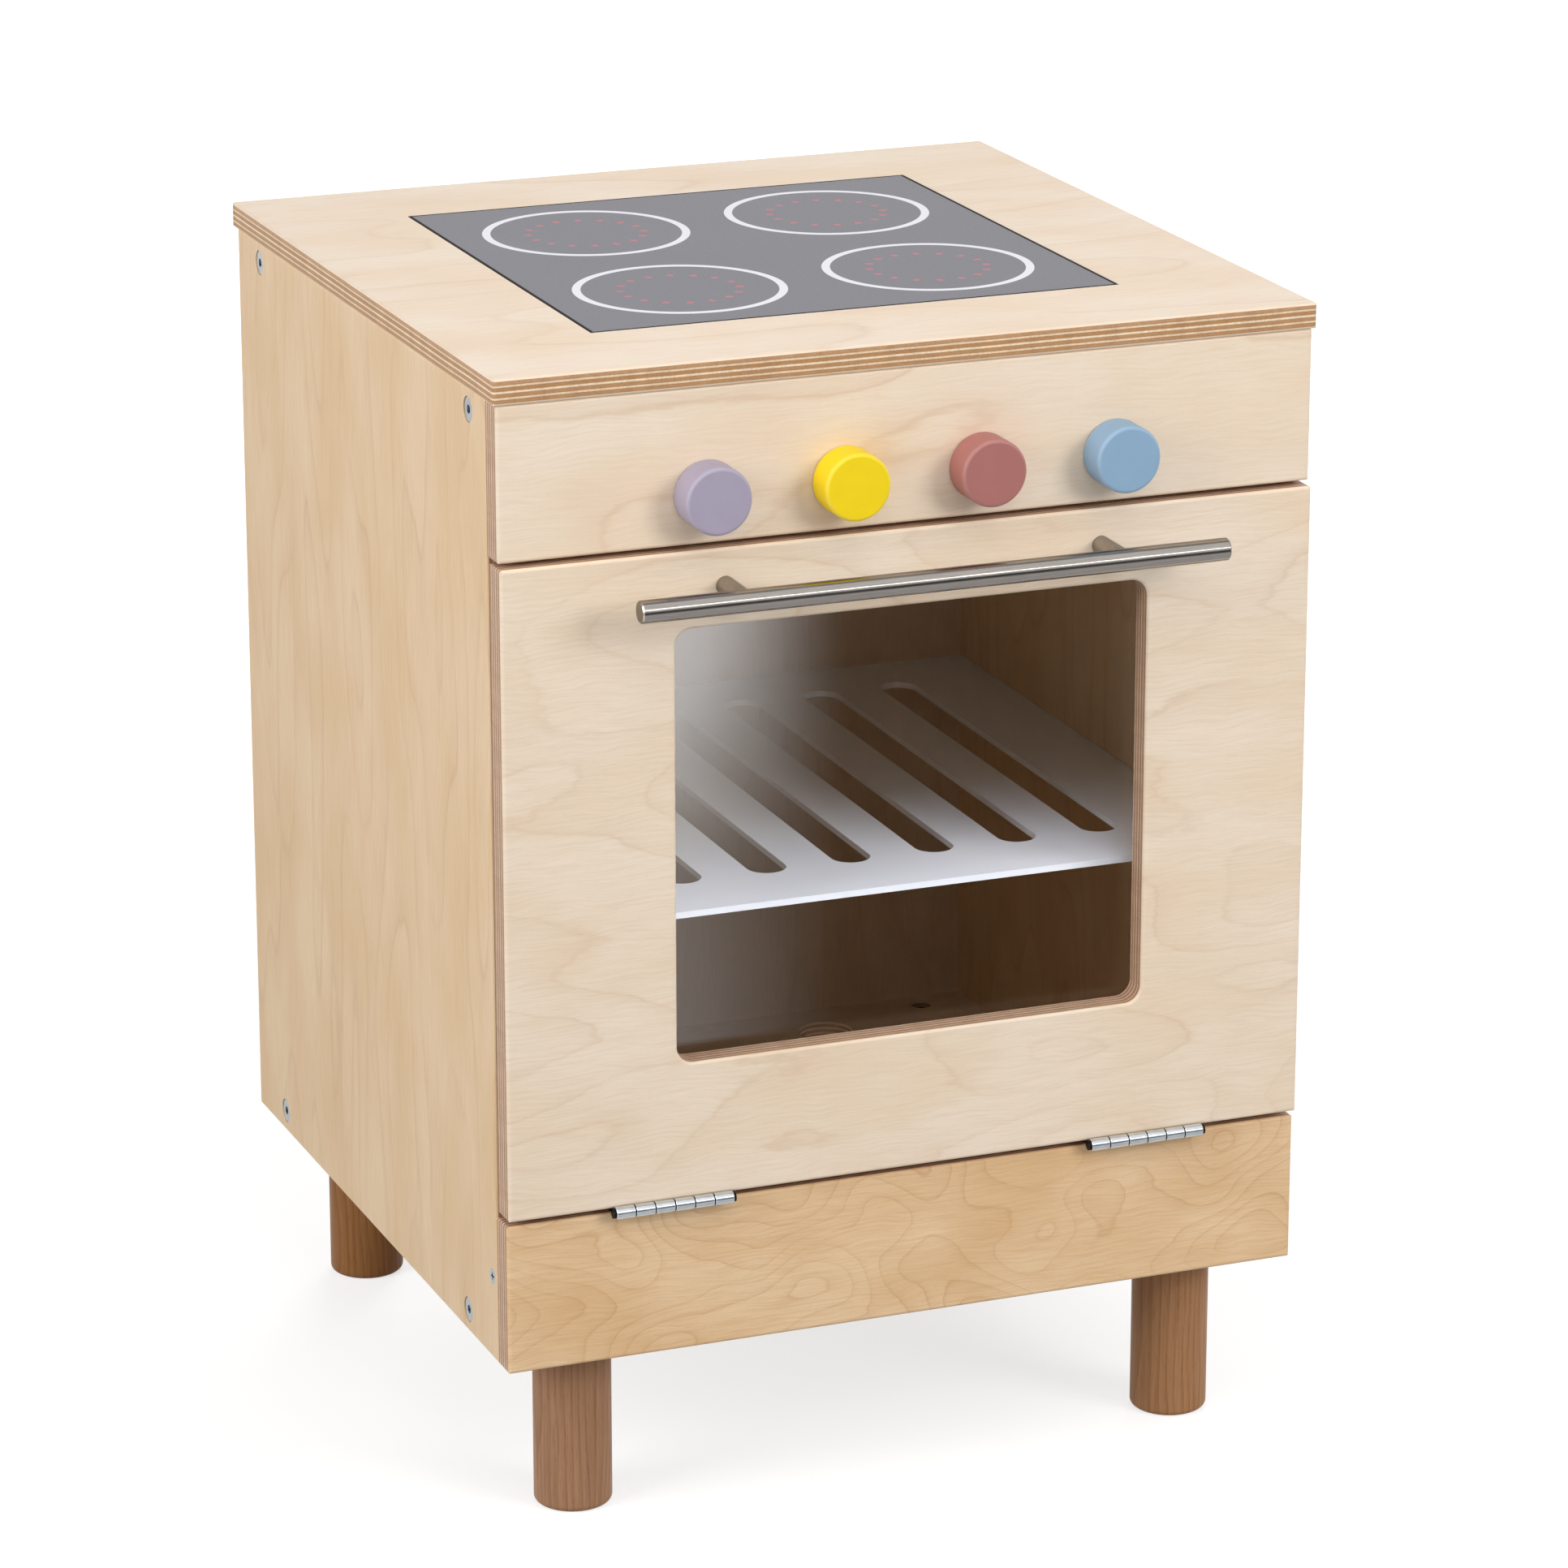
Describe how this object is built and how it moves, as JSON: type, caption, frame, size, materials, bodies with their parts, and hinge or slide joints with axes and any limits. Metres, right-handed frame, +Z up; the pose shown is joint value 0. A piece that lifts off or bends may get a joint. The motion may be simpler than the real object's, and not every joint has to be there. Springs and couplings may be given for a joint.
{
  "type": "toy oven",
  "caption": "Free-standing wooden toy oven on round legs, with a drop-down windowed door, bar handle, slotted shelf, hob panel and turning knobs.",
  "frame": {"origin": "on the floor, under the middle of the whole box, handle included", "axes": "+Z up, +X to the right seen from the front, +Y to the back; the door faces -Y"},
  "size_m": [0.4, 0.424, 0.5545],
  "materials": {
    "birch_top": "clear satin lacquer",
    "birch_front": "clear satin lacquer",
    "birch_side": "clear satin lacquer",
    "birch_kick": "clear satin lacquer",
    "rail_wood": "planed, unfinished",
    "beech_leg": "brown stained, satin",
    "hob_laminate": "printed satin laminate",
    "shelf_white": "white, satin",
    "clear_pane": "clear, polished",
    "satin_steel": "brushed stainless",
    "zinc_steel": "bright zinc plate",
    "black_steel": "black oxide",
    "magnet_grey": "matt",
    "catch_white": "moulded",
    "felt_black": "felt",
    "lilac_paint": "matt paint",
    "yellow_paint": "matt paint",
    "rose_paint": "matt paint",
    "blue_paint": "matt paint"
  },
  "bodies": {
    "cabinet": {"worktop": "birch_top", "control_panel": "birch_front", "left_side_panel": "birch_side", "right_side_panel": "birch_side", "back_panel": "birch_side", "floor_panel": "birch_side", "kick_panel": "birch_kick", "front_top_rail": "rail_wood", "rear_top_rail": "rail_wood", "kick_rail": "rail_wood", "fascia_dowels": "rail_wood", "kick_dowels": "rail_wood", "front_left_leg": "beech_leg", "front_right_leg": "beech_leg", "rear_left_leg": "beech_leg", "rear_right_leg": "beech_leg", "hob_panel": "hob_laminate", "oven_shelf": "shelf_white", "leg_inserts": "zinc_steel", "side_bolts": "zinc_steel", "barrel_nuts": "zinc_steel", "worktop_screws": "zinc_steel", "back_panel_screws": "zinc_steel", "kick_rail_screws": "zinc_steel", "kick_panel_screws": "zinc_steel", "catch_screws": "zinc_steel", "left_hinge_kick_leaf": "zinc_steel", "right_hinge_kick_leaf": "zinc_steel", "kick_leaf_screws": "zinc_steel", "leg_bolts": "black_steel", "left_hinge_pin": "black_steel", "right_hinge_pin": "black_steel", "catch_magnet": "magnet_grey", "catch_housing": "catch_white", "door_bumpers": "felt_black", "knob_washers": "felt_black"},
    "door": {"door_panel": "birch_front", "window_pane": "clear_pane", "pane_screws": "zinc_steel", "handle_bar": "satin_steel", "handle_posts": "satin_steel", "handle_screws": "zinc_steel", "strike_plate": "satin_steel", "strike_screws": "zinc_steel", "left_hinge_door_leaf": "zinc_steel", "right_hinge_door_leaf": "zinc_steel", "door_leaf_screws": "zinc_steel"},
    "lilac_dial": {"lilac_knob": "lilac_paint", "lilac_knob_bolt": "zinc_steel", "lilac_knob_nut": "zinc_steel"},
    "yellow_dial": {"yellow_knob": "yellow_paint", "yellow_knob_bolt": "zinc_steel", "yellow_knob_nut": "zinc_steel"},
    "rose_dial": {"rose_knob": "rose_paint", "rose_knob_bolt": "zinc_steel", "rose_knob_nut": "zinc_steel"},
    "blue_dial": {"blue_knob": "blue_paint", "blue_knob_bolt": "zinc_steel", "blue_knob_nut": "zinc_steel"}
  },
  "joints": [
    {"name": "door_hinge", "type": "hinge", "parent": "cabinet", "child": "door", "pos_m": [0, -0.18193, 0.1585], "axis": [1, 0, 0], "range_deg": [0, 115]},
    {"name": "lilac_dial_turn", "type": "hinge", "parent": "cabinet", "child": "lilac_dial", "pos_m": [-0.0996, -0.17722, 0.493], "axis": [0, -1, 0], "continuous": true},
    {"name": "yellow_dial_turn", "type": "hinge", "parent": "cabinet", "child": "yellow_dial", "pos_m": [-0.0332, -0.17722, 0.493], "axis": [0, -1, 0], "continuous": true},
    {"name": "rose_dial_turn", "type": "hinge", "parent": "cabinet", "child": "rose_dial", "pos_m": [0.0332, -0.17722, 0.493], "axis": [0, -1, 0], "continuous": true},
    {"name": "blue_dial_turn", "type": "hinge", "parent": "cabinet", "child": "blue_dial", "pos_m": [0.0996, -0.17722, 0.493], "axis": [0, -1, 0], "continuous": true}
  ]
}
